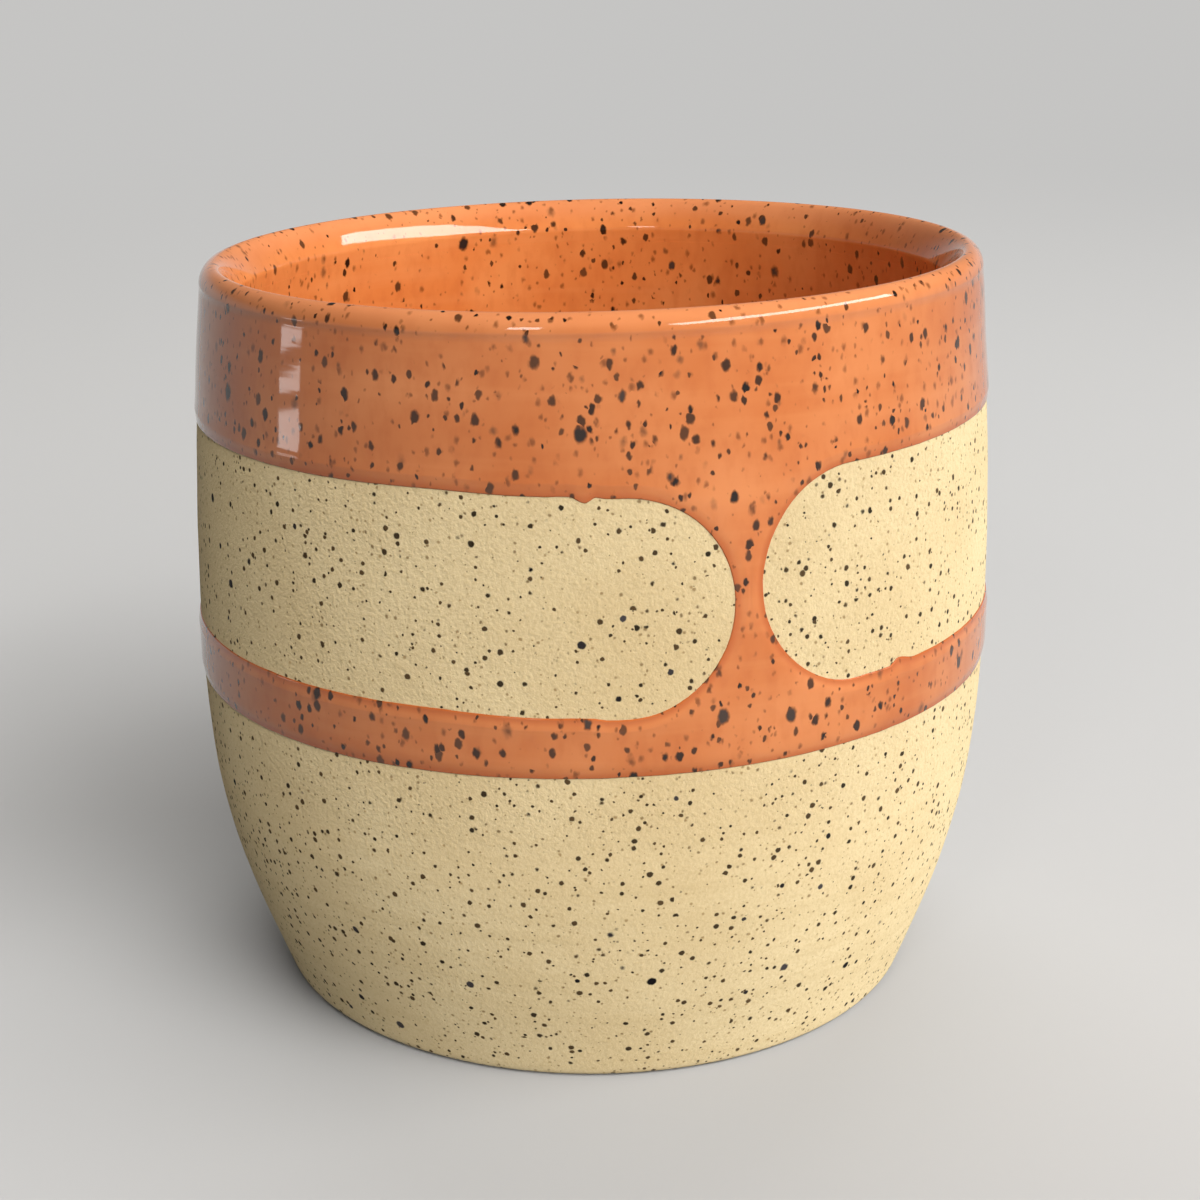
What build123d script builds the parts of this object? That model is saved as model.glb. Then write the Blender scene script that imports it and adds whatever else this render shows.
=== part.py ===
"""Handleless stoneware tumbler: a thrown clay body, a glaze poured inside and a glaze dipped outside."""
from build123d import *
import math
import os

# Clay body in millimetres, turned about Z and standing on Z = 0
clay_height = 82.5           # table to the top of the clay lip
belly_diameter = 89.6        # widest ring
belly_height = 41.4          # table to the widest ring
foot_diameter = 73.8         # where the wall would meet the table with no rounding
lip_diameter = 85.4          # outside, at the height of the crease ring
belly_wall = 4.5
lip_wall = 3.8               # at the crease ring
heel_wall = 4.5              # foot edge to the inside corner, measured across
floor_thickness = 5.0
floor_corner_radius = 15.0   # inside, where the wall turns into the floor
foot_ring_width = 6.0
foot_recess_depth = 1.5
foot_edge_radius = 1.2
recess_edge_radius = 0.6
lip_bevel_depth = 3.4        # the lip slopes inwards, down to a crease ring
lip_top_width = 1.9          # flat top of the lip with no rounding
lip_outer_radius = 1.2
lip_inner_radius = 0.8

# Glaze coats
glaze_thickness = 0.3
rim_band_height = 16.3       # lip down to the bare windows
window_height = 21.9         # a window is a strip with round ends
ring_band_height = 6.7       # windows down to the lower edge of the coat
window_count = 2
bridge_width = 2.9           # glaze between two windows, at its waist
first_bridge_azimuth = -90.0

# Radii and heights that follow from the sizes above
belly_radius = belly_diameter / 2
foot_radius = foot_diameter / 2
lip_radius = lip_diameter / 2
recess_radius = foot_radius - foot_ring_width
floor_height = foot_recess_depth + floor_thickness
inner_belly_radius = belly_radius - belly_wall
inner_foot_radius = foot_radius - heel_wall
crease_radius = lip_radius - lip_wall
crease_height = clay_height - lip_bevel_depth
window_top = clay_height - rim_band_height
window_middle = window_top - window_height / 2
coat_bottom = window_top - window_height - ring_band_height

# The lip goes straight on from the wall's arc, and its two roundings share its flat top
lip_lean = 2 * math.atan2(belly_radius - lip_radius, crease_height - belly_height)
lip_top_radius = lip_radius - lip_bevel_depth * math.tan(lip_lean)
bevel_width = lip_top_radius - lip_top_width - crease_radius
bevel_slope = math.atan2(lip_bevel_depth, bevel_width)
outer_share = 0.65
inner_share = 0.3
lip_outer_round = min(lip_outer_radius, outer_share * lip_top_width)
lip_inner_round = min(lip_inner_radius, inner_share * lip_top_width / math.tan(bevel_slope / 2))


def wall_arc(belly, end):
    """Arc of a wall from its widest ring, where it stands upright, to its upper or lower end."""
    return TangentArc(belly, end, tangent=(0, math.copysign(1, end[1] - belly[1])))


def rounded(face, corner, radius):
    """Round one corner of a section."""
    return fillet(face.vertices().sort_by_distance(corner)[0], radius)


def cup_section(coat):
    """Half section of the cup as radius and height: bare clay, or clay grown by a coat all over."""
    foot = (foot_radius + coat, -coat)
    belly = (belly_radius + coat, belly_height)
    shoulder = (lip_radius + coat, crease_height)
    lip = (shoulder[0] - (lip_bevel_depth + coat) * math.tan(lip_lean), clay_height + coat)
    bevel_top = (crease_radius + bevel_width - coat * math.tan(bevel_slope / 2), clay_height + coat)
    crease = (crease_radius - coat, crease_height + coat * math.tan(math.pi / 4 - bevel_slope / 2))
    inner_belly = (inner_belly_radius - coat, belly_height)
    inner_corner = (inner_foot_radius - coat, floor_height + coat)
    floor_middle = (0, floor_height + coat)
    recess_middle = (0, foot_recess_depth - coat)
    recess_corner = (recess_radius - coat, foot_recess_depth - coat)
    foot_inside = (recess_radius - coat, -coat)
    section = make_face([
        wall_arc(belly, foot),
        wall_arc(belly, shoulder),
        Polyline(shoulder, lip, bevel_top, crease),
        wall_arc(inner_belly, crease),
        wall_arc(inner_belly, inner_corner),
        Polyline(inner_corner, floor_middle, recess_middle, recess_corner, foot_inside, foot),
    ])
    section = rounded(section, lip, lip_outer_round + coat)
    section = rounded(section, bevel_top, lip_inner_round + coat)
    section = rounded(section, inner_corner, floor_corner_radius - coat)
    section = rounded(section, recess_corner, recess_edge_radius - coat)
    section = rounded(section, foot_inside, recess_edge_radius + coat)
    return rounded(section, foot, foot_edge_radius + coat)


def turned(section):
    """Turn a section about the cup's axis, from the first bridge round."""
    return Rot(0, 0, first_bridge_azimuth) * revolve(Plane.XZ * section, Axis.Z)


clay_section = cup_section(0)
clay_body = turned(clay_section)

# A skin all round the clay holds both coats. What was poured lies inside the middle of the wall, up to
# the crease. What was dipped is the rest, over the lip and down the outside to the coat's lower edge.
skin = cup_section(glaze_thickness) - clay_section
middle_belly = (belly_radius - belly_wall / 2, belly_height)
middle_crease = (lip_radius - lip_wall / 2, crease_height)
middle_heel = (foot_radius - heel_wall / 2, floor_height - floor_thickness / 2)
poured = make_face([
    wall_arc(middle_belly, middle_crease),
    wall_arc(middle_belly, middle_heel),
    Polyline(middle_heel, (0, middle_heel[1]), (0, crease_height), middle_crease),
])
dip_width = belly_diameter + lip_diameter
dip_height = 2 * (clay_height - coat_bottom)
dipped = Pos(0, coat_bottom) * Rectangle(dip_width, dip_height, align=(Align.MIN, Align.MIN))
liner_glaze = turned(skin & poured)
outer_glaze = turned((skin - poured) & dipped)

# Bare windows: a strip of tape round the wall with a round sticker at each end kept the glaze off
waist_line = Line((0, window_middle), (dip_width, window_middle)) & clay_section
waist_radius = waist_line.bounding_box().max.X + glaze_thickness
sticker_radius = window_height / 2
half_bridge_angle = math.degrees(bridge_width / 2 / waist_radius + math.asin(sticker_radius / waist_radius))
window_pitch = 360 / window_count
tape_angle = window_pitch - 2 * half_bridge_angle
tape_section = Pos(waist_radius - belly_wall / 2, window_middle) * Rectangle(
    dip_width, window_height, align=(Align.MIN, Align.CENTER)
)
tape = revolve(Plane.XZ * tape_section, Axis.Z, revolution_arc=tape_angle)
sticker = Pos(0, 0, window_middle) * Rot(0, 90, 0) * Cylinder(
    sticker_radius, dip_width, align=(Align.CENTER, Align.CENTER, Align.MIN)
)

for window in range(window_count):
    tape_start = first_bridge_azimuth + window * window_pitch + half_bridge_angle
    outer_glaze -= Rot(0, 0, tape_start) * tape
    outer_glaze -= Rot(0, 0, tape_start) * sticker
    outer_glaze -= Rot(0, 0, tape_start + tape_angle) * sticker

pieces = {"clay_body": clay_body, "liner_glaze": liner_glaze, "outer_glaze": outer_glaze}
os.makedirs("parts", exist_ok=True)
for name, piece in pieces.items():
    export_step(piece, f"parts/{name}.step")
    print(f"{name}: {piece.volume / 1000:.2f} cm3")
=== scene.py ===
import math

import bpy
from mathutils import Matrix, Vector, noise


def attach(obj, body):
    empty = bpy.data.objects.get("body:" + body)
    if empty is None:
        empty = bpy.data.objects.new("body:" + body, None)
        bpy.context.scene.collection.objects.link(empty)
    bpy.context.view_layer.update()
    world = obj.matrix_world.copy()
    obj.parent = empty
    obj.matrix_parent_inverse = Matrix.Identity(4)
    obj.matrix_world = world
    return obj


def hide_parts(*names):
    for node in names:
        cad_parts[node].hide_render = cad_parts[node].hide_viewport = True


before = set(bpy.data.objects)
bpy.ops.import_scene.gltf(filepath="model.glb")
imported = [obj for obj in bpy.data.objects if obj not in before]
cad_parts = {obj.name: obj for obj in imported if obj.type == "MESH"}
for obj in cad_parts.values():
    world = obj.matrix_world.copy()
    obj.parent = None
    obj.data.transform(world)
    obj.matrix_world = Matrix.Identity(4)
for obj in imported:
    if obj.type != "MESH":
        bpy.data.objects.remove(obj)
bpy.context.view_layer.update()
bpy.ops.object.select_all(action="DESELECT")

# Sizes in millimetres, as the solids have them but for a softer lip and foot edge. Metres come last.
MM = 0.001
clay_height = 82.5
belly_radius = 44.8
belly_height = 41.4
foot_radius = 36.9
shoulder_radius = 42.7
shoulder_height = 79.1
inner_belly_radius = 40.3
inner_foot_radius = 32.4
crease_radius = 38.9
crease_height = 79.2
floor_height = 6.5
floor_corner_radius = 15.0
foot_ring_width = 6.0
foot_recess_depth = 1.5
foot_edge_radius = 1.4
recess_edge_radius = 0.6
coat_depth = 0.3
window_top = 66.2
window_height = 21.9
coat_bottom = 37.6
bridge_width = 2.9

# The lip is a quarter of an oval outside its crown and a slope that steepens down to the crease inside it
crown_radius = 41.15
lip_outer_half = 1.44
lip_outer_depth = 2.0
lip_inner_bend = 1.7
lip_inner_half = crown_radius - crease_radius
lip_inner_depth = clay_height - crease_height
lip_lean = 2 * math.atan2(belly_radius - shoulder_radius, shoulder_height - belly_height)
seam_height = 77.6           # where the poured coat and the dipped coat meet inside

# What hands and wheel leave behind, in millimetres and radians
rim_lean = 0.018             # rise for each millimetre to the photograph's right
ring_depth = 0.012
ring_pitch = 9.5
fine_ring_depth = 0.003
fine_ring_pitch = 3.4
floor_ring_depth = 0.16
floor_ring_pitch = 5.2
oval_depth = 0.12
oval_turn = 0.6
dent_depth = 0.12
dent_height = 72.5
dent_rise = 4.2
dent_azimuth = math.radians(-27.0)
dent_turn = 0.42
wall_fullness = 0.15
heel_fullness = 0.4
heel_height = 22.0
heel_rise = 11.0

# How finely the pieces are stepped
turn_steps = 240
clay_row = 0.7
clay_lip_steps = 8
clay_inside_row = 1.5
liner_face_row = 0.8
liner_back_row = 2.5
floor_corner_run = 18.0      # about the length of the inside corner's arc
smooth_angle = math.radians(50.0)

# The photograph's viewing direction, used for the lean of the rim and for the studio lamps
view_right = Vector((0.94028, -0.34039, 0.0))
view_back = Vector((-0.34039, -0.94028, 0.0))
up = Vector((0.0, 0.0, 1.0))


def wall_arc(height, belly, end, end_height):
    """Radius of a wall that stands upright at the belly and runs on one arc to its upper or lower end."""
    rise = end_height - belly_height
    drop = belly - end
    arc = (rise ** 2 + drop ** 2) / (2 * drop)
    return belly - arc + math.sqrt(arc ** 2 - (height - belly_height) ** 2)


def outer_wall(height):
    """Radius of the clay outside, with the lip straight on from the shoulder."""
    if height > shoulder_height:
        return shoulder_radius - (height - shoulder_height) * math.tan(lip_lean)
    if height > belly_height:
        return wall_arc(height, belly_radius, shoulder_radius, shoulder_height)
    return wall_arc(height, belly_radius, foot_radius, 0.0)


def inner_wall(height):
    """Radius of the clay inside, from the floor up to the crease."""
    if height > belly_height:
        return wall_arc(height, inner_belly_radius, crease_radius, crease_height)
    return wall_arc(height, inner_belly_radius, inner_foot_radius, floor_height)


def spread(start, end, step):
    """Even steps from start to end, both included."""
    count = max(1, math.ceil(abs(end - start) / step))
    return [start + (end - start) * index / count for index in range(count + 1)]


def swing(centre, radius, start, end, steps):
    """Points on an arc between two angles in degrees."""
    points = []
    for angle in spread(math.radians(start), math.radians(end), math.radians(abs(end - start)) / steps):
        points.append((centre[0] + radius * math.cos(angle), centre[1] + radius * math.sin(angle)))
    return points


def lip_line(steps):
    """Half section of the clay lip, from the wall outside over the crown to the crease inside."""
    points = []
    first = math.atan2(lip_outer_depth * math.tan(lip_lean), lip_outer_half)
    for angle in spread(first, math.pi / 2, (math.pi / 2 - first) / steps):
        points.append((crown_radius + lip_outer_half * math.cos(angle),
                       clay_height - lip_outer_depth + lip_outer_depth * math.sin(angle)))
    for share in spread(0.0, 1.0, 1.0 / steps)[1:]:
        points.append((crown_radius - lip_inner_half * share,
                       clay_height - lip_inner_depth * share ** lip_inner_bend))
    return points


def inside_line(step):
    """Half section of the clay inside, from the crease down the wall and over the floor to its middle."""
    drop = inner_belly_radius - inner_foot_radius
    floor_arc_radius = ((belly_height - floor_height) ** 2 + drop ** 2) / (2 * drop)
    arc_centre_radius = inner_belly_radius - floor_arc_radius
    corner_height = floor_height + floor_corner_radius
    reach = floor_arc_radius - floor_corner_radius
    corner_offset = math.sqrt(reach ** 2 - (belly_height - corner_height) ** 2)
    corner = (arc_centre_radius + corner_offset, corner_height)
    turn = math.degrees(math.asin((belly_height - corner_height) / reach))
    corner_top = corner_height - floor_corner_radius * math.sin(math.radians(turn))
    corner_steps = math.ceil(floor_corner_run / step)
    points = [(inner_wall(height), height) for height in spread(crease_height, corner_top, step)]
    points += swing(corner, floor_corner_radius, -turn, -90.0, corner_steps)[1:]
    points += [(radius, floor_height) for radius in spread(corner[0], 0.0, step)[1:]]
    return points


def foot_line():
    """Half section of the underside, from its middle over the turned ring to the outside of the foot."""
    recess_radius = foot_radius - foot_ring_width
    recess_end = recess_radius - recess_edge_radius
    recess_corner = (recess_end, foot_recess_depth - recess_edge_radius)
    ring_start = recess_radius + recess_edge_radius
    wall_angle = math.degrees(2 * math.atan2(belly_radius - foot_radius, belly_height))
    ring_end = foot_radius - foot_edge_radius * math.tan(math.radians(90 - wall_angle) / 2)
    points = [(radius, foot_recess_depth) for radius in spread(0.0, recess_end, 2.5)]
    points += swing(recess_corner, recess_edge_radius, 90.0, 0.0, 5)[1:]
    points += swing((ring_start, recess_edge_radius), recess_edge_radius, 180.0, 270.0, 5)
    points += [(radius, 0.0) for radius in spread(ring_start, ring_end, 1.0)[1:]]
    points += swing((ring_end, foot_edge_radius), foot_edge_radius, -90.0, -wall_angle, 6)[1:]
    return points


def grown(line, depth):
    """A line set off square to itself, to the left of its run."""
    moved = []
    for index, (radius, height) in enumerate(line):
        before = line[max(index - 1, 0)]
        after = line[min(index + 1, len(line) - 1)]
        run = Vector((after[0] - before[0], after[1] - before[1])).normalized()
        moved.append((max(radius - run.y * depth, 0.0), height + run.x * depth))
    return moved


# Hand shaping

def ease(value, low, high):
    """Smooth step from 0 at low to 1 at high."""
    share = min(max((value - low) / (high - low), 0.0), 1.0)
    return share * share * (3 - 2 * share)


def hand_shape(piece):
    """What hands and wheel leave: a leaning oval rim, throwing rings, a soft dent and a full lower wall."""
    for vertex in piece.data.vertices:
        x, y, z = vertex.co
        radius = math.hypot(x, y)
        azimuth = math.atan2(y, x)
        spiral = azimuth / (2 * math.pi)
        wall = ease(radius, 26.0, 34.0)
        lean = rim_lean * (x * view_right.x + y * view_right.y) * ease(z, 0.0, 36.0)
        rings = ring_depth * math.sin(2 * math.pi * (z / ring_pitch + spiral))
        rings += fine_ring_depth * math.sin(2 * math.pi * (z / fine_ring_pitch - spiral))
        rings *= ease(z, 3.0, 14.0) * (1 - 0.6 * ease(z, 76.0, 82.0))
        oval = oval_depth * math.cos(2 * azimuth + oval_turn) * ease(z, 4.0, 50.0)
        turn = math.remainder(azimuth - dent_azimuth, 2 * math.pi)
        dent = -dent_depth * math.exp(-(turn / dent_turn) ** 2 - ((z - dent_height) / dent_rise) ** 2)
        fullness = wall_fullness * ease(z, 4.0, 12.0)
        fullness += heel_fullness * math.exp(-((z - heel_height) / heel_rise) ** 2)
        floor_rings = floor_ring_depth * math.sin(2 * math.pi * (radius / floor_ring_pitch - spiral))
        floor_rings *= (1 - wall) * ease(radius, 1.0, 7.0) * ease(z, 3.0, 6.0)
        reach = 1 + wall * (rings + oval + dent + fullness) / max(radius, 1.0)
        vertex.co = (x * reach, y * reach, z + lean * wall + floor_rings)


# Making pieces

def begin(name):
    """The newly added primitive becomes a piece that is open for shaping."""
    piece = bpy.context.object
    piece.name = name
    piece.data.name = name
    bpy.ops.object.mode_set(mode="EDIT")
    bpy.ops.mesh.select_mode(type="VERT")
    return piece


def throw(name, section):
    """Draw a closed half section as a chain of vertices and spin it about the cup's axis."""
    bpy.ops.object.select_all(action="DESELECT")
    bpy.ops.mesh.primitive_plane_add(size=1.0)
    piece = begin(name)
    bpy.ops.mesh.merge(type="CENTER")
    bpy.ops.transform.translate(value=(section[0][0], 0.0, section[0][1]))
    for here, there in zip(section, section[1:]):
        step = (there[0] - here[0], 0.0, there[1] - here[1])
        bpy.ops.mesh.extrude_region_move(TRANSFORM_OT_translate={"value": step})
    bpy.ops.mesh.select_all(action="SELECT")
    bpy.ops.mesh.spin(steps=turn_steps, angle=2 * math.pi, center=(0.0, 0.0, 0.0), axis=(0.0, 0.0, 1.0))
    bpy.ops.mesh.select_all(action="SELECT")
    bpy.ops.mesh.remove_doubles(threshold=0.002)
    bpy.ops.mesh.normals_make_consistent(inside=False)
    bpy.ops.object.mode_set(mode="OBJECT")
    return piece


def finish_piece(piece, node, finish):
    """Shape by hand, bring to metres, smooth, dress, and set in the frame."""
    hand_shape(piece)
    bpy.ops.object.select_all(action="DESELECT")
    piece.select_set(True)
    bpy.context.view_layer.objects.active = piece
    bpy.ops.object.mode_set(mode="EDIT")
    bpy.ops.mesh.select_all(action="SELECT")
    bpy.ops.transform.resize(value=(MM, MM, MM), center_override=(0.0, 0.0, 0.0))
    bpy.ops.object.mode_set(mode="OBJECT")
    bpy.ops.object.shade_smooth_by_angle(angle=smooth_angle)
    piece.data.materials.clear()
    piece.data.materials.append(finish)
    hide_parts(node)
    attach(piece, "root")


# The dipped coat, laid out flat: along X the way round the wall, along Y the height

waist_height = window_top - window_height / 2
waist_radius = outer_wall(waist_height) + coat_depth
bay_half = math.pi / 2 * waist_radius
end_radius = window_height / 2
end_centre = bay_half - bridge_width / 2 - end_radius
border_half = end_radius + bridge_width / 2
margin_steps = (1.2, 0.8, 0.45, 0.25, 0.14, 0.08, 0.03, 0.0)
border_shares = (0.35, 0.7, 1.0)
end_points = 68
side_cuts = 100
tooth_cuts = 4
coat_row = 0.8
lip_steps = 24
lip_start = lip_line(2)[0][1]
over_lip = lip_line(lip_steps)
over_lip += [(inner_wall(height), height) for height in spread(crease_height, seam_height, 0.3)[1:]]

# How the edges of the coat wander, and the two teeth of glaze where tape and stickers met badly
drift_depth = 0.05
drift_grain = 7.0
ripple_depth = 0.04
ripple_grain = 1.9
drift_reach = 3.0            # past this distance from an edge the coat lies still
upper_tooth = end_centre - 3.7
upper_tooth_depth = 0.62
lower_tooth = 6.4 - end_centre
lower_tooth_depth = 0.6

# How far the tape and stickers beside the front bridge sit too low on one side and too high on the other
low_tape = 0.4
low_sticker = 0.3            # below its tape
high_tape = 0.24
tall_tape = 0.13             # added at the upper edge and taken off at the lower
high_sticker = 0.38          # above its tape
slip_start = 0.6
upper_slip_reach = 7.0
lower_slip_reach = 3.3

# The edge of the coat in section: a round edge, then a slow rise and a bead, as shares of its depth
edge_round = 0.15
round_share = 0.4
rise_share = 0.48
rise_reach = 1.4
bead_share = 0.12
bead_place = 1.2
bead_half = 0.4


def bay_of(x):
    """Which window a place belongs to, and where the middle of that window is."""
    bay = 0 if x < bay_half else 1
    return bay, 2 * bay_half * bay


def spine_of(x):
    """The nearest point of the window's middle line."""
    middle = bay_of(x)[1]
    return min(max(x, middle - end_centre), middle + end_centre)


def edge_distance(x, y):
    """Distance from the nearest edge of the coat: a window's edge or the lower edge."""
    return min(math.hypot(x - spine_of(x), y - waist_height) - end_radius, y - coat_bottom)


def tooth(past, rise, fall):
    """A tooth that rises to 1 at its tip and falls again."""
    return ease(past, -rise, 0.0) if past < 0 else 1 - ease(past, 0.0, fall)


def edge_drift(x, y):
    """How far an edge wanders outwards from its window, with the two teeth."""
    bay, middle = bay_of(x)
    along = x - middle
    drift = drift_depth * noise.noise(Vector((x / drift_grain, y / drift_grain, bay * 5.0)))
    drift += ripple_depth * noise.noise(Vector((x / ripple_grain, y / ripple_grain, 9.0)))
    if bay == 1 and y > waist_height:
        drift -= upper_tooth_depth * tooth(along - upper_tooth, 1.7, 1.1)
    if bay == 0 and coat_bottom < y < waist_height:
        drift -= lower_tooth_depth * tooth(along - lower_tooth, 1.4, 2.8)
    return drift


def slip(x, lift):
    """How far tape and stickers sit off their line. Lift is 1 at an upper edge and -1 at a lower one."""
    bay, middle = bay_of(x)
    along = x - middle
    if bay == 1:
        past = along - end_centre
        low = low_tape * ease(past, -19.0, -8.0) + low_sticker * ease(past, -3.6, -1.4)
        return -low * ease(bay_half - along, 0.0, 1.2)
    ahead = along + end_centre
    high = high_tape + tall_tape * lift + high_sticker * (1 - ease(ahead, -9.0, 0.0))
    return high * (1 - ease(ahead, 30.0, 80.0)) * ease(bay_half + along, 0.0, 1.2)


def coat_share(distance):
    """Share of its full depth that the coat has at a distance from its edge."""
    step = min(distance / edge_round, 1.0)
    bead = bead_share * math.exp(-((distance - bead_place) / bead_half) ** 2)
    return round_share * math.sqrt(1 - (1 - step) ** 2) + rise_share * ease(distance, 0.0, rise_reach) + bead


def pick(piece, test):
    """Select the vertices that a test on their place picks out, in edit mode."""
    bpy.ops.mesh.select_all(action="DESELECT")
    bpy.ops.object.mode_set(mode="OBJECT")
    for vertex in piece.data.vertices:
        vertex.select = test(vertex.co)
    bpy.ops.object.mode_set(mode="EDIT")
    bpy.ops.mesh.select_mode(type="VERT")


def lay_out_bay():
    """One bare window and the glaze round it, as a flat rectangle with a round-ended hole."""
    bpy.ops.object.select_all(action="DESELECT")
    start_radius = end_radius + margin_steps[0]
    bpy.ops.mesh.primitive_circle_add(vertices=end_points, radius=start_radius, fill_type="NOTHING")
    piece = begin("outer_glaze_coat")
    bpy.ops.mesh.select_all(action="SELECT")
    bpy.ops.transform.rotate(value=math.pi / end_points, orient_axis="Z", center_override=(0.0, 0.0, 0.0))
    pick(piece, lambda place: place.x > 0)
    bpy.ops.transform.translate(value=(end_centre, 0.0, 0.0))
    pick(piece, lambda place: place.x < 0)
    bpy.ops.transform.translate(value=(-end_centre, 0.0, 0.0))
    for side in (-1, 1):
        pick(piece, lambda place: place.y * side > end_radius and abs(place.x) < end_centre + 1.0)
        bpy.ops.mesh.subdivide(number_cuts=side_cuts)
    pick(piece, lambda place: place.y > end_radius and abs(place.x - upper_tooth) < 2.4)
    bpy.ops.mesh.subdivide(number_cuts=tooth_cuts)
    pick(piece, lambda place: place.y < -end_radius and abs(place.x - lower_tooth - 0.5) < 3.2)
    bpy.ops.mesh.subdivide(number_cuts=tooth_cuts)
    bpy.ops.mesh.select_all(action="SELECT")
    bpy.ops.mesh.edge_face_add()
    for wide, narrow in zip(margin_steps, margin_steps[1:]):
        bpy.ops.mesh.inset(thickness=wide - narrow, use_even_offset=True)
    bpy.ops.mesh.delete(type="ONLY_FACE")
    for share in border_shares:
        bpy.ops.mesh.select_mode(type="EDGE")
        bpy.ops.mesh.select_all(action="DESELECT")
        pick_border(piece)
        bpy.ops.mesh.extrude_region_move(TRANSFORM_OT_translate={"value": (0.0, 0.0, 0.0)})
        bpy.ops.object.mode_set(mode="OBJECT")
        for vertex in piece.data.vertices:
            if vertex.select:
                square_off(vertex, share)
        bpy.ops.object.mode_set(mode="EDIT")
    return piece


def pick_border(piece):
    """Select the outer border of the flat bay."""
    bpy.ops.object.mode_set(mode="OBJECT")
    uses = {}
    for face in piece.data.polygons:
        for key in face.edge_keys:
            uses[key] = uses.get(key, 0) + 1
    for edge in piece.data.edges:
        start, end = (piece.data.vertices[index].co for index in edge.vertices)
        middle = (start + end) / 2
        spine = min(max(middle.x, -end_centre), end_centre)
        outside = math.hypot(middle.x - spine, middle.y) > end_radius + margin_steps[0] / 2
        edge.select = uses.get(tuple(sorted(edge.vertices)), 0) == 1 and outside
    bpy.ops.object.mode_set(mode="EDIT")


def square_off(vertex, share):
    """Move a border vertex part of the way from the round outline to the rectangle round it."""
    spine = min(max(vertex.co.x, -end_centre), end_centre)
    way = Vector((vertex.co.x - spine, vertex.co.y))
    way.normalize()
    start = end_radius + margin_steps[0]
    goal = border_half / max(abs(way.x), abs(way.y))
    reach = start + (goal - start) * share
    vertex.co = (spine + way.x * reach, way.y * reach, 0.0)


def pull_rows(piece, level, rows):
    """Extrude the edge row at one height along Y, row by row."""
    pick(piece, lambda place: abs(place.y - level) < 0.01)
    for here, there in zip([level] + rows, rows):
        bpy.ops.mesh.extrude_region_move(TRANSFORM_OT_translate={"value": (0.0, there - here, 0.0)})


def lip_run():
    """Flat height of every point over the lip: the wall's own height, then the length of the line."""
    heights = [lip_start]
    for here, there in zip(over_lip, over_lip[1:]):
        heights.append(heights[-1] + math.dist(here, there))
    return heights


def clay_place(y, heights):
    """Radius and height on the clay for a flat height."""
    if y <= lip_start:
        return outer_wall(y), y
    for low, high, here, there in zip(heights, heights[1:], over_lip, over_lip[1:]):
        if y <= high + 1e-4:
            share = (y - low) / (high - low)
            return here[0] + (there[0] - here[0]) * share, here[1] + (there[1] - here[1]) * share
    return over_lip[-1]


def settle(x, y, distance):
    """Where a flat place comes to lie once the edges have wandered and slipped."""
    fade = max(0.0, 1 - distance / drift_reach) ** 2
    if y - coat_bottom < distance + 0.01:
        return x, y + edge_drift(x, 0.0) * fade
    way = Vector((x - spine_of(x), y - waist_height)).normalized()
    drift = edge_drift(x, y) * fade
    slip_reach = upper_slip_reach if y > waist_height else lower_slip_reach
    slipped = slip(x, way.y) * (1 - ease(distance, slip_start, slip_reach))
    return x + way.x * drift, y + (way.y * drift + slipped)


def dip_coat():
    """Lay the coat out flat, let its edges wander, wrap it round the clay and give it its depth."""
    piece = lay_out_bay()
    bpy.ops.mesh.select_all(action="SELECT")
    bpy.ops.mesh.duplicate_move(TRANSFORM_OT_translate={"value": (2 * bay_half, 0.0, 0.0)})
    bpy.ops.mesh.select_all(action="SELECT")
    bpy.ops.transform.translate(value=(0.0, waist_height, 0.0))
    bpy.ops.mesh.remove_doubles(threshold=0.005)
    heights = lip_run()
    top = waist_height + border_half
    pull_rows(piece, top, spread(top, lip_start, coat_row)[1:] + heights[1:])
    bottom = waist_height - border_half
    edge_rows = [coat_bottom + margin for margin in margin_steps]
    pull_rows(piece, bottom, spread(bottom, edge_rows[0], coat_row)[1:] + edge_rows[1:])
    bpy.ops.object.mode_set(mode="OBJECT")

    crown = heights[lip_steps]
    edge_notes, lip_notes, depths = [], [], []
    for vertex in piece.data.vertices:
        x, y = vertex.co.xy
        distance = max(edge_distance(x, y), 0.0)
        edge_notes.append(distance)
        lip_notes.append(y - crown)
        depths.append(coat_share(distance))
        x, y = settle(x, y, distance)
        radius, height = clay_place(y, heights)
        azimuth = x / waist_radius
        vertex.co = (radius * math.cos(azimuth), radius * math.sin(azimuth), height)
    depth = piece.vertex_groups.new(name="depth")
    for index, share in enumerate(depths):
        depth.add([index], share, "REPLACE")
    for name, notes in (("edge_distance", edge_notes), ("over_lip", lip_notes)):
        piece.data.attributes.new(name, "FLOAT", "POINT")
        piece.data.attributes[name].data.foreach_set("value", notes)

    bpy.ops.object.mode_set(mode="EDIT")
    bpy.ops.mesh.select_all(action="SELECT")
    bpy.ops.mesh.remove_doubles(threshold=0.01)
    bpy.ops.mesh.normals_make_consistent(inside=False)
    bpy.ops.object.mode_set(mode="OBJECT")
    coat = piece.modifiers.new("depth of the coat", "SOLIDIFY")
    coat.thickness = coat_depth
    coat.offset = 1.0
    coat.use_rim = True
    coat.vertex_group = "depth"
    bpy.ops.object.modifier_apply(modifier=coat.name)
    bpy.ops.object.mode_set(mode="EDIT")
    bpy.ops.mesh.select_all(action="SELECT")
    bpy.ops.mesh.remove_doubles(threshold=0.002)
    bpy.ops.object.mode_set(mode="OBJECT")
    return piece


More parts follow.
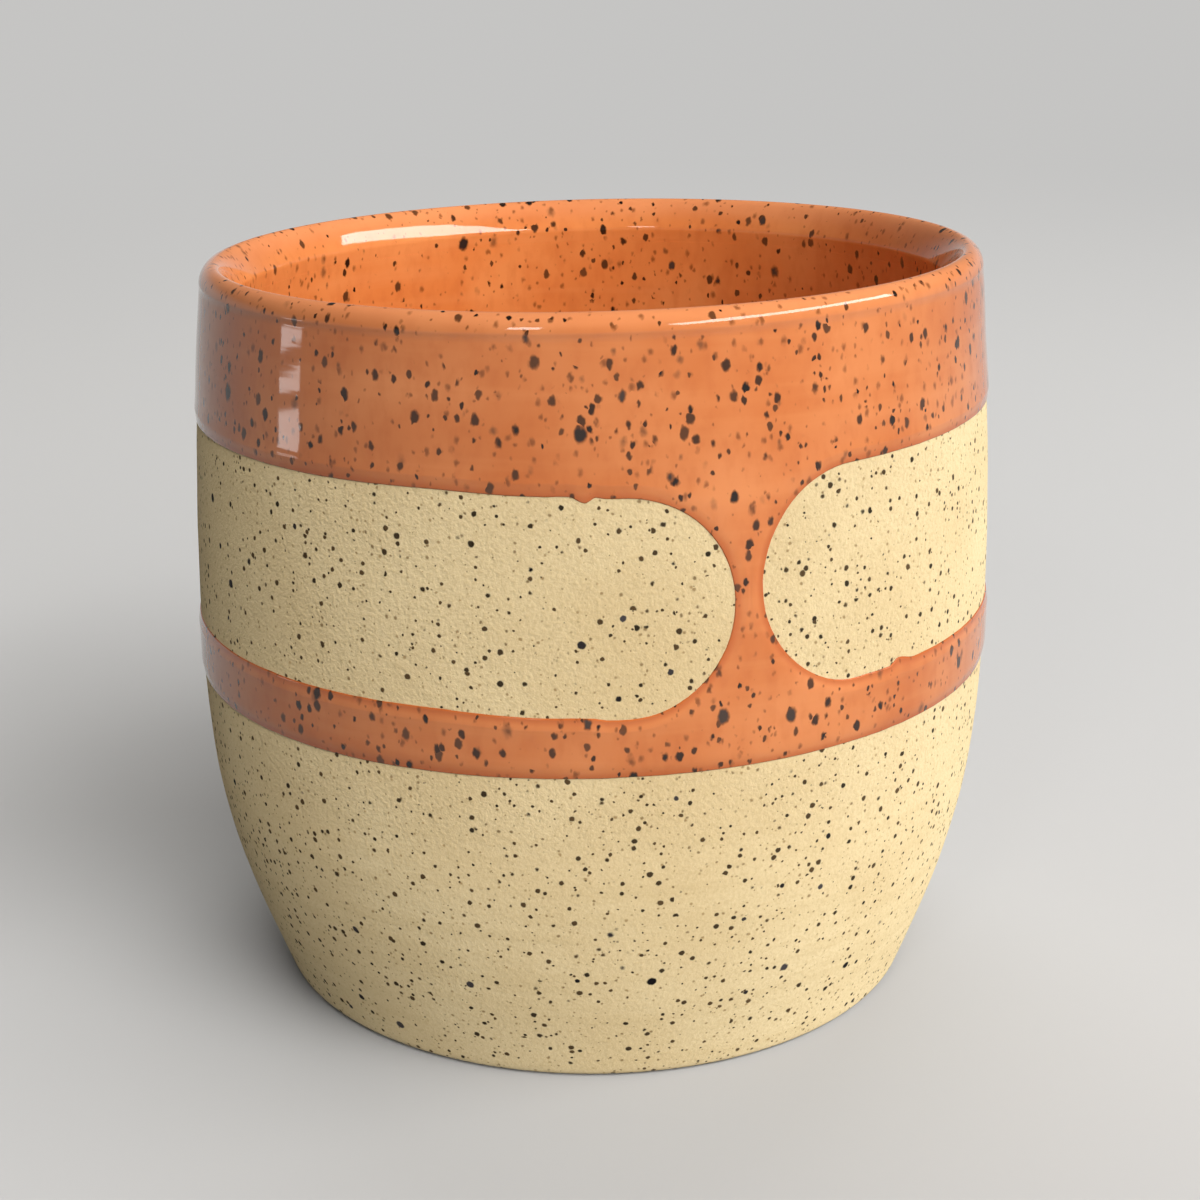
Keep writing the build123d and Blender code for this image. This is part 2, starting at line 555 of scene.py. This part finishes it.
# Colours of the clay and its specks
buff = (0.68, 0.535, 0.3, 1.0)
pale_buff = (0.73, 0.593, 0.35, 1.0)
dark_sand = (0.57, 0.425, 0.21, 1.0)
light_sand = (0.8, 0.68, 0.44, 1.0)
turning_mark = (0.6, 0.458, 0.235, 1.0)
dark_brown = (0.16, 0.095, 0.035, 1.0)
light_brown = (0.4, 0.26, 0.11, 1.0)
clay_iron = (0.012, 0.008, 0.005, 1.0)
clay_iron_light = (0.09, 0.05, 0.02, 1.0)
clay_slag = (0.006, 0.005, 0.006, 1.0)
clay_slag_light = (0.07, 0.06, 0.06, 1.0)

# Colours of the glaze and its specks
poured_thin = (0.62, 0.18, 0.044, 1.0)
poured_thick = (0.69, 0.235, 0.068, 1.0)
dipped_thin = (0.56, 0.152, 0.036, 1.0)
dipped_thick = (0.66, 0.22, 0.07, 1.0)
glaze_mottle = (0.49, 0.12, 0.027, 1.0)
glaze_ring = (0.71, 0.255, 0.085, 1.0)
glaze_edge = (0.45, 0.085, 0.014, 1.0)
glaze_crown = (0.72, 0.27, 0.11, 1.0)
rust = (0.17, 0.045, 0.01, 1.0)
sunk_rust = (0.16, 0.055, 0.019, 1.0)
glaze_iron = (0.01, 0.005, 0.003, 1.0)
glaze_iron_light = (0.13, 0.044, 0.014, 1.0)
glaze_slag = (0.004, 0.003, 0.003, 1.0)
glaze_slag_light = (0.06, 0.035, 0.025, 1.0)
inside_flock = 0.48          # share of the outside's specks that the inside has

# Colours of the studio
backdrop = (0.56, 0.555, 0.546, 1.0)
high_sky = (0.16, 0.15, 0.134, 1.0)
room_light = (0.056, 0.053, 0.047, 1.0)
floor_seen = (0.52, 0.514, 0.504, 1.0)
floor_bounce = (0.12, 0.117, 0.112, 1.0)


# Finishes

def add(tree, kind, settings=None, inputs=None):
    """Add a node, set it, and set or link its inputs."""
    made = tree.nodes.new(kind)
    for name, value in (settings or {}).items():
        setattr(made, name, value)
    for name, value in (inputs or {}).items():
        if isinstance(value, bpy.types.NodeSocket):
            tree.links.new(value, made.inputs[name])
        else:
            made.inputs[name].default_value = value
    return made


def calc(tree, operation, first, second=0.0, clamp=False):
    """One step of arithmetic."""
    settings = {"operation": operation, "use_clamp": clamp}
    return add(tree, "ShaderNodeMath", settings, {0: first, 1: second}).outputs[0]


def sum_of(tree, under, part, share):
    """A value with a share of another added to it."""
    return calc(tree, "ADD", under, calc(tree, "MULTIPLY", part, share))


def move(tree, operation, inputs):
    """One step of vector arithmetic."""
    return add(tree, "ShaderNodeVectorMath", {"operation": operation}, inputs).outputs[0]


def blend(tree, share, under, over):
    """One colour laid over another by a share."""
    settings = {"data_type": "RGBA", "blend_type": "MIX"}
    return add(tree, "ShaderNodeMix", settings, {0: share, 6: under, 7: over}).outputs[2]


def ramp(tree, value, low, high, start=0.0, end=1.0):
    """Smooth change from start to end while a value goes from low to high."""
    inputs = {"Value": value, "From Min": low, "From Max": high, "To Min": start, "To Max": end}
    return add(tree, "ShaderNodeMapRange", {"interpolation_type": "SMOOTHSTEP"}, inputs).outputs[0]


def cloud(tree, place, grain, detail):
    """Noise with a grain of so many millimetres."""
    inputs = {"Vector": place, "Scale": 1 / (grain * MM), "Detail": detail}
    return add(tree, "ShaderNodeTexNoise", None, inputs).outputs[0]


def stretched(tree, place, scale):
    """Places scaled along each axis: below 1 draws a pattern out."""
    return add(tree, "ShaderNodeMapping", None, {"Vector": place, "Scale": scale}).outputs[0]


def jitter(tree, place, grain, reach):
    """Places shaken by up to so many millimetres, so that specks lose their round outline."""
    inputs = {"Vector": place, "Scale": 1 / (grain * MM), "Detail": 1.0}
    shake = add(tree, "ShaderNodeTexNoise", None, inputs).outputs[1]
    level = move(tree, "SUBTRACT", {0: shake, 1: (0.5, 0.5, 0.5)})
    scaled = move(tree, "SCALE", {0: level, "Scale": 2 * reach * MM})
    return move(tree, "ADD", {0: place, 1: scaled})


def specks(tree, place, cell, share, smallest, largest):
    """Specks, one at most in each cell: 0 at the rim to 1 in the middle, and a random number for each."""
    inputs = {"Vector": place, "Scale": 1 / (cell * MM)}
    cells = add(tree, "ShaderNodeTexVoronoi", {"feature": "F1"}, inputs)
    luck = add(tree, "ShaderNodeSeparateColor", None, {0: cells.outputs["Color"]})
    here = calc(tree, "LESS_THAN", luck.outputs[0], share)
    size = calc(tree, "POWER", luck.outputs[1], 2.5)
    size = calc(tree, "MULTIPLY_ADD", size, (largest - smallest) / cell)
    size.node.inputs[2].default_value = smallest / cell
    size = calc(tree, "MULTIPLY", size, here)
    inside = calc(tree, "SUBTRACT", size, cells.outputs["Distance"])
    return calc(tree, "DIVIDE", inside, size, True), luck.outputs[2]


def new_finish(name):
    """A finish with its shader, and the places on the piece that its patterns follow."""
    finish = bpy.data.materials.new(name)
    finish.use_nodes = True
    tree = finish.node_tree
    tree.nodes.clear()
    shader = add(tree, "ShaderNodeBsdfPrincipled")
    add(tree, "ShaderNodeOutputMaterial", None, {"Surface": shader.outputs[0]})
    place = add(tree, "ShaderNodeTexCoord").outputs["Object"]
    return finish, tree, shader, place


def clay_finish():
    """Bare buff stoneware: sandy grain, turning marks on the lower wall, and iron specks."""
    finish, tree, shader, place = new_finish("speckled_clay")
    height = add(tree, "ShaderNodeSeparateXYZ", None, {0: place}).outputs[2]
    low_wall = ramp(tree, height, 0.036, 0.024)
    clouds = cloud(tree, place, 16.0, 3.0)
    sand = cloud(tree, place, 0.4, 4.0)
    fine_sand = cloud(tree, place, 0.18, 2.0)
    lumps = cloud(tree, place, 1.1, 2.0)
    rings = cloud(tree, stretched(tree, place, (0.06, 0.06, 1.0)), 1.4, 4.0)
    colour = blend(tree, ramp(tree, clouds, 0.3, 0.7), buff, pale_buff)
    colour = blend(tree, ramp(tree, sand, 0.42, 0.72, 0.0, 0.4), colour, dark_sand)
    colour = blend(tree, ramp(tree, fine_sand, 0.5, 0.75, 0.0, 0.3), colour, light_sand)
    streaks = calc(tree, "MULTIPLY", ramp(tree, rings, 0.42, 0.7, 0.0, 0.28), low_wall)
    colour = blend(tree, streaks, colour, turning_mark)
    flock = ramp(tree, cloud(tree, place, 9.0, 1.0), 0.35, 0.65, 0.5, 1.0)
    shaken = jitter(tree, place, 0.4, 0.1)
    fine, fine_luck = specks(tree, shaken, cell=0.7, share=0.9, smallest=0.11, largest=0.28)
    main, main_luck = specks(tree, shaken, cell=0.98, share=flock, smallest=0.155, largest=0.41)
    rare, rare_luck = specks(tree, shaken, cell=4.5, share=0.5, smallest=0.35, largest=0.65)
    brown = blend(tree, fine_luck, dark_brown, light_brown)
    colour = blend(tree, ramp(tree, fine, 0.0, 0.7, 0.0, 0.85), colour, brown)
    iron = blend(tree, main_luck, clay_iron, clay_iron_light)
    colour = blend(tree, ramp(tree, main, 0.0, 0.35, 0.0, 0.97), colour, iron)
    slag = blend(tree, rare_luck, clay_slag, clay_slag_light)
    colour = blend(tree, ramp(tree, rare, 0.0, 0.3), colour, slag)
    tree.links.new(colour, shader.inputs["Base Color"])
    shader.inputs["Roughness"].default_value = 0.85
    shader.inputs["Diffuse Roughness"].default_value = 1.0
    shader.inputs["Specular IOR Level"].default_value = 0.12
    grain = sum_of(tree, sand, fine_sand, 0.3)
    grain = sum_of(tree, grain, lumps, 0.7)
    relief = calc(tree, "MULTIPLY", grain, ramp(tree, low_wall, 0.0, 1.0, 1.0, 0.5))
    relief = sum_of(tree, relief, calc(tree, "MULTIPLY", rings, low_wall), 0.35)
    relief = sum_of(tree, relief, ramp(tree, main, 0.0, 0.6), 0.2)
    bump = add(tree, "ShaderNodeBump", None, {"Height": relief, "Strength": 1.0, "Distance": 0.15 * MM})
    tree.links.new(bump.outputs[0], shader.inputs["Normal"])
    return finish


def glaze_finish(name, dipped):
    """Gloss terracotta glaze: soft mottling, throwing rings, and specks that bleed through in brown."""
    finish, tree, shader, place = new_finish(name)
    clouds = cloud(tree, place, 14.0, 3.0)
    mottle = cloud(tree, stretched(tree, place, (1.0, 1.0, 0.55)), 1.6, 4.0)
    rings = cloud(tree, stretched(tree, place, (0.07, 0.07, 1.0)), 2.4, 3.0)
    flock = ramp(tree, cloud(tree, place, 11.0, 1.0), 0.35, 0.65, 0.75, 1.0)
    thickness = ramp(tree, clouds, 0.3, 0.7)
    poured = blend(tree, thickness, poured_thin, poured_thick)
    if dipped:
        edge = add(tree, "ShaderNodeAttribute", {"attribute_name": "edge_distance"}).outputs["Fac"]
        past_lip = add(tree, "ShaderNodeAttribute", {"attribute_name": "over_lip"}).outputs["Fac"]
        flock = calc(tree, "MULTIPLY", flock, ramp(tree, past_lip, -2.5, 1.5, 1.0, inside_flock))
        colour = blend(tree, thickness, dipped_thin, dipped_thick)
        colour = blend(tree, ramp(tree, past_lip, 1.0, 4.0), colour, poured)
    else:
        flock = calc(tree, "MULTIPLY", flock, inside_flock)
        colour = poured
    colour = blend(tree, ramp(tree, mottle, 0.42, 0.75, 0.0, 0.35), colour, glaze_mottle)
    colour = blend(tree, ramp(tree, rings, 0.45, 0.75, 0.0, 0.35), colour, glaze_ring)
    if dipped:
        colour = blend(tree, ramp(tree, edge, 0.9, 0.1, 0.0, 0.6), colour, glaze_edge)
        crown = ramp(tree, calc(tree, "ABSOLUTE", past_lip), 3.6, 0.6, 0.0, 0.55)
        colour = blend(tree, crown, colour, glaze_crown)
    shaken = jitter(tree, stretched(tree, place, (1.0, 1.0, 0.7)), 0.5, 0.2)
    faint = specks(tree, shaken, cell=0.95, share=0.95, smallest=0.18, largest=0.46)[0]
    main, main_luck = specks(tree, shaken, cell=1.2, share=flock, smallest=0.22, largest=0.6)
    sunk = specks(tree, shaken, cell=2.6, share=0.6, smallest=0.35, largest=0.8)[0]
    rare, rare_luck = specks(tree, shaken, cell=4.4, share=0.5, smallest=0.55, largest=0.95)
    colour = blend(tree, ramp(tree, faint, 0.0, 0.8, 0.0, 0.75), colour, rust)
    colour = blend(tree, ramp(tree, sunk, 0.0, 0.9, 0.0, 0.8), colour, sunk_rust)
    iron = blend(tree, main_luck, glaze_iron, glaze_iron_light)
    colour = blend(tree, ramp(tree, main, 0.0, 0.3, 0.0, 0.75), colour, rust)
    colour = blend(tree, ramp(tree, main, 0.12, 0.44), colour, iron)
    slag = blend(tree, rare_luck, glaze_slag, glaze_slag_light)
    colour = blend(tree, ramp(tree, rare, 0.0, 0.3, 0.0, 0.75), colour, rust)
    colour = blend(tree, ramp(tree, rare, 0.14, 0.48), colour, slag)
    tree.links.new(colour, shader.inputs["Base Color"])
    tree.links.new(ramp(tree, clouds, 0.3, 0.7, 0.03, 0.06), shader.inputs["Roughness"])
    shader.inputs["IOR"].default_value = 1.5
    relief = sum_of(tree, calc(tree, "MULTIPLY", rings, 0.6), main, 0.15)
    bump = add(tree, "ShaderNodeBump", None, {"Height": relief, "Strength": 0.3, "Distance": 0.05 * MM})
    tree.links.new(bump.outputs[0], shader.inputs["Normal"])
    return finish


def seen_ray(tree):
    """1 for what the camera sees directly, mirrored or through glass, 0 for light on its way."""
    ray = add(tree, "ShaderNodeLightPath")
    seen = calc(tree, "ADD", ray.outputs["Is Camera Ray"], ray.outputs["Is Glossy Ray"], True)
    return calc(tree, "ADD", seen, ray.outputs["Is Transmission Ray"], True)


def floor_finish():
    """Pale matt floor that stays evenly pale away from the cup, where the lamps light it unevenly."""
    finish, tree, shader, place = new_finish("studio_floor")
    seen = seen_ray(tree)
    tree.links.new(blend(tree, seen, floor_bounce, floor_seen), shader.inputs["Base Color"])
    shader.inputs["Roughness"].default_value = 0.9
    shader.inputs["Specular IOR Level"].default_value = 0.1
    away = add(tree, "ShaderNodeVectorMath", {"operation": "LENGTH"}, {0: place}).outputs["Value"]
    far = calc(tree, "MULTIPLY", ramp(tree, away, 0.25, 0.9), seen)
    pale = add(tree, "ShaderNodeEmission", None, {"Color": backdrop, "Strength": 1.0})
    mix = add(tree, "ShaderNodeMixShader", None, {0: far, 1: shader.outputs[0], 2: pale.outputs[0]})
    output = next(node for node in tree.nodes if node.type == "OUTPUT_MATERIAL")
    tree.links.new(mix.outputs[0], output.inputs["Surface"])
    return finish


# The three pieces

clay_section = foot_line()
wall_rows = spread(clay_section[-1][1], lip_start, clay_row)[1:]
clay_section += [(outer_wall(height), height) for height in wall_rows]
clay_section += lip_line(clay_lip_steps)[1:] + inside_line(clay_inside_row)[1:]
clay = throw("clay_body_thrown", clay_section)
finish_piece(clay, "clay_body", clay_finish())

seam = (inner_wall(seam_height), seam_height)
face = [seam] + [point for point in inside_line(liner_face_row) if point[1] <= seam_height]
back = [seam] + [point for point in inside_line(liner_back_row) if point[1] < seam_height]
liner_section = [(0.0, floor_height + coat_depth)] + grown(face, -coat_depth)[-2::-1] + back
liner = throw("liner_glaze_coat", liner_section)
finish_piece(liner, "liner_glaze", glaze_finish("inside_glaze", False))

coat = dip_coat()
finish_piece(coat, "outer_glaze", glaze_finish("outside_glaze", True))

# Floor and camera

bpy.ops.object.select_all(action="DESELECT")
bpy.ops.mesh.primitive_plane_add(size=24.0, location=(0.0, 0.0, 0.0))
ground = bpy.context.object
ground.name = "studio_floor"
ground.data.materials.append(floor_finish())

camera_place = (-0.07901, -0.22067, 0.11719)
view_turn = math.atan2(-view_right.y, view_right.x)
view_pitch = 0.3127
view_roll = -0.0054
camera_data = bpy.data.cameras.new("photo_camera")
camera_data.sensor_width = 36.0
camera_data.lens = 63.07
camera = bpy.data.objects.new("photo_camera", camera_data)
bpy.context.collection.objects.link(camera)
camera.matrix_world = (
    Matrix.Translation(camera_place)
    @ Matrix.Rotation(-view_turn, 4, "Z")
    @ Matrix.Rotation(math.pi / 2 - view_pitch, 4, "X")
    @ Matrix.Rotation(view_roll, 4, "Z")
)
bpy.context.scene.camera = camera

# Lamps

lamp_target = Vector((0.0, 0.0, 0.05))
lamp_distance = 2.4
pane_azimuth = -87.0
pane_distance = 0.39
pane_width = 0.056
pane_glow = 3.6
pane_roll = math.radians(7.0)


def lamp(name, azimuth, elevation, distance, width, height, watts):
    """A soft box that faces the cup. Azimuth is counted from the camera to its right."""
    data = bpy.data.lights.new(name, "AREA")
    data.shape = "RECTANGLE"
    data.size = width
    data.size_y = height
    data.energy = watts
    box = bpy.data.objects.new(name, data)
    bpy.context.collection.objects.link(box)
    side = math.radians(azimuth)
    rise = math.radians(elevation)
    level = view_right * math.sin(side) + view_back * math.cos(side)
    way = level * math.cos(rise) + up * math.sin(rise)
    box.location = lamp_target + way * distance
    box.rotation_euler = way.to_track_quat("Z", "Y").to_euler()
    box.visible_camera = False
    return box


# Each lamp's name, azimuth, elevation, width, height and watts, and whether the glaze mirrors it
for name, azimuth, elevation, width, height, watts, mirrored in (
    ("key_box", 63.0, 37.0, 3.16, 0.4, 45.0, True),
    ("strip_box", -20.0, 30.0, 0.35, 0.33, 3.6, True),
    ("high_fill", 30.0, 48.0, 1.8, 1.2, 39.0, False),
    ("low_fill", 30.0, 16.0, 1.8, 0.9, 23.0, False),
    ("back_fill", 178.0, 42.0, 2.6, 1.6, 32.0, False),
):
    box = lamp(name, azimuth, elevation, lamp_distance, width, height, watts)
    box.visible_glossy = mirrored

# Three low panes of light, given by their lower and upper ends, which the left of the upper band mirrors
for pane_bottom, pane_top in ((58.5, 70.2), (42.9, 52.5), (14.0, 33.1)):
    pane_height = (pane_top - pane_bottom) * MM
    pane_watts = pane_glow * math.pi * pane_width * pane_height
    pane = lamp("low_pane", pane_azimuth, 0.0, pane_distance, pane_width, pane_height, pane_watts)
    pane.location.z = (pane_bottom + pane_top) / 2 * MM
    pane.rotation_euler.rotate_axis("Z", pane_roll)
    pane.visible_diffuse = False

# Surroundings

world = bpy.data.worlds.new("studio")
world.use_nodes = True
air = world.node_tree
sky = air.nodes["Background"]
direction = add(air, "ShaderNodeTexCoord").outputs["Generated"]
rise = add(air, "ShaderNodeSeparateXYZ", None, {0: direction}).outputs[2]
seen_sky = blend(air, ramp(air, rise, 0.02, 0.3), backdrop, high_sky)
air.links.new(blend(air, seen_ray(air), room_light, seen_sky), sky.inputs["Color"])
bpy.context.scene.world = world
bpy.context.scene.view_settings.view_transform = "Standard"
